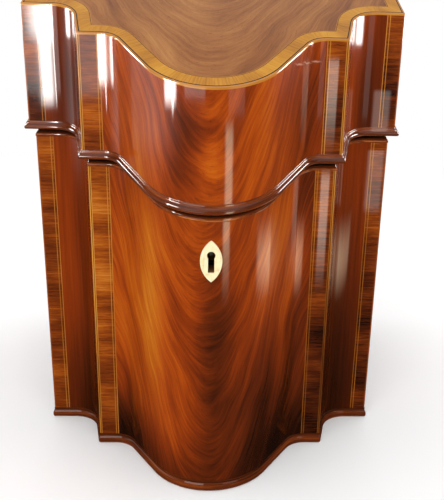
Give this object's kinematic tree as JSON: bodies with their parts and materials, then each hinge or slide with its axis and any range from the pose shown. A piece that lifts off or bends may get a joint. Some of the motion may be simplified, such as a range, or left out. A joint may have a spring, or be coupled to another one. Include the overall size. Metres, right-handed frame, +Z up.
{
  "type": "knife box",
  "caption": "Serpentine-fronted mahogany knife box with a sloping hinged lid, a slotted sloping board inside, a box lock and a lens-shaped escutcheon.",
  "frame": {"origin": "middle of the footprint's bounding box, at the level of the underside", "axes": "+X to the right seen from the front, +Y to the back where the hinges are, +Z up"},
  "size_m": [0.2348, 0.2866, 0.3839],
  "materials": {
    "mahogany": "flame-figured mahogany veneer, french polished",
    "dark_mahogany": "dark cross-grained mahogany moulding, french polished",
    "carcase_wood": "planed deal, oiled by age",
    "boxwood": "boxwood stringing, french polished",
    "bone": "polished bone inlay, yellowed",
    "brass": "aged brass",
    "steel": "filed iron, darkened",
    "baize": "green baize"
  },
  "bodies": {
    "carcase": {"back_board": "mahogany", "base_moulding_front": "dark_mahogany", "base_moulding_left": "dark_mahogany", "base_moulding_right": "dark_mahogany", "bottom_board": "carcase_wood", "escutcheon": "bone", "floor_lining": "baize", "front_board": "carcase_wood", "front_partition": "carcase_wood", "front_veneer": "mahogany", "knife_board": "mahogany", "left_bearer": "carcase_wood", "left_hinge_body_leaf": "brass", "left_hinge_body_screw_left": "brass", "left_hinge_body_screw_right": "brass", "left_hinge_pin": "brass", "left_side_board": "carcase_wood", "left_side_veneer": "mahogany", "lock_case": "steel", "lock_key_pin": "steel", "lock_plate": "brass", "lock_screw_left": "brass", "lock_screw_right": "brass", "middle_partition": "carcase_wood", "rear_partition": "carcase_wood", "right_bearer": "carcase_wood", "right_hinge_body_leaf": "brass", "right_hinge_body_screw_left": "brass", "right_hinge_body_screw_right": "brass", "right_hinge_pin": "brass", "right_side_board": "carcase_wood", "right_side_veneer": "mahogany", "rim_back": "dark_mahogany", "rim_front": "dark_mahogany", "rim_left": "dark_mahogany", "rim_right": "dark_mahogany"},
    "lid": {"left_hinge_lid_leaf": "brass", "left_hinge_lid_screw_left": "brass", "left_hinge_lid_screw_right": "brass", "lid_back_board": "mahogany", "lid_edge_string": "boxwood", "lid_front_board": "carcase_wood", "lid_front_veneer": "mahogany", "lid_left_side": "carcase_wood", "lid_left_veneer": "mahogany", "lid_moulding_front": "dark_mahogany", "lid_moulding_left": "dark_mahogany", "lid_moulding_right": "dark_mahogany", "lid_right_side": "carcase_wood", "lid_right_veneer": "mahogany", "lid_top_board": "carcase_wood", "lid_top_veneer": "mahogany", "lock_link_plate": "brass", "lock_link_screw_left": "brass", "lock_link_screw_right": "brass", "right_hinge_lid_leaf": "brass", "right_hinge_lid_screw_left": "brass", "right_hinge_lid_screw_right": "brass"},
    "lock_bolt": {"lock_bolt": "steel"}
  },
  "joints": [
    {"name": "lid_hinge", "type": "hinge", "parent": "carcase", "child": "lid", "pos_m": [0, 0.14088, 0.28898], "axis": [-1, 0, 0], "range_deg": [0, 95]},
    {"name": "bolt_slide", "type": "slide", "parent": "carcase", "child": "lock_bolt", "axis": [1, 0, 0], "range_m": [0, 0.004]}
  ]
}
